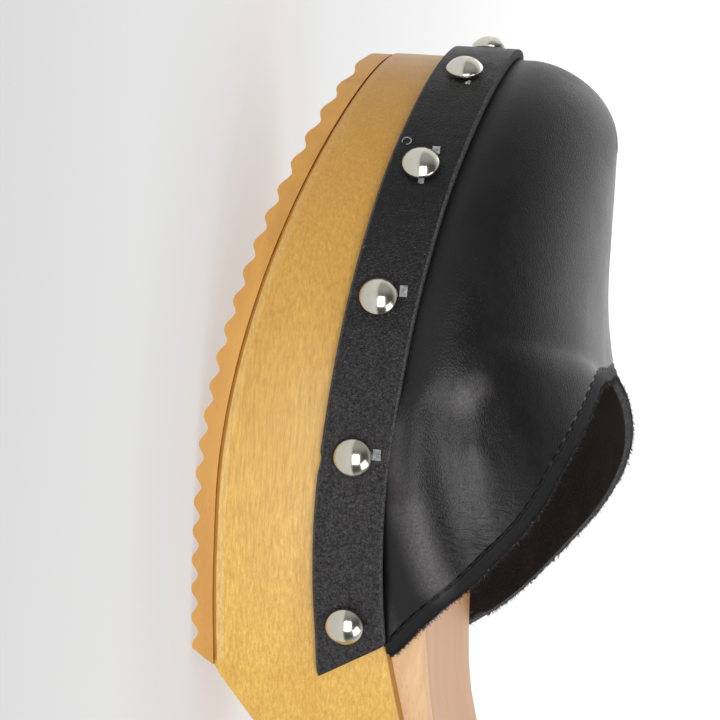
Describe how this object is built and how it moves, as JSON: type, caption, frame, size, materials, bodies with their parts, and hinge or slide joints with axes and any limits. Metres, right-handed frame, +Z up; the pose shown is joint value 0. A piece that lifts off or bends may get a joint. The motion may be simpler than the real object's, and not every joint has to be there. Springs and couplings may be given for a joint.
{
  "type": "wooden sole clog",
  "caption": "Left open-back clog: carved wooden sole with arched waist and high heel, toothed forefoot tread, black leather vamp held by a nailed leather strip.",
  "frame": {"origin": "on the floor, under the middle of the heel tread", "axes": "+X towards the toe, +Y towards the wearer's outer (left) side, +Z up; the shoe stands on the floor at z = 0"},
  "size_m": [0.2551, 0.1083, 0.0855],
  "materials": {
    "lacquered_wood": "satin lacquer on the sides, pale raw wood on the footbed",
    "tan_rubber": "matte",
    "black_leather": "soft grain, semi-matte",
    "black_strip_leather": "coarser grain, matte, raw cut edges",
    "polished_nickel": "polished"
  },
  "bodies": {
    "root": {"wooden_sole": "lacquered_wood", "forefoot_tread": "tan_rubber", "heel_tread": "tan_rubber", "upper": "black_leather", "nailed_strip": "black_strip_leather", "nail_01": "polished_nickel", "nail_02": "polished_nickel", "nail_03": "polished_nickel", "nail_04": "polished_nickel", "nail_05": "polished_nickel", "nail_06": "polished_nickel", "nail_07": "polished_nickel", "nail_08": "polished_nickel", "nail_09": "polished_nickel", "nail_10": "polished_nickel"}
  },
  "joints": []
}
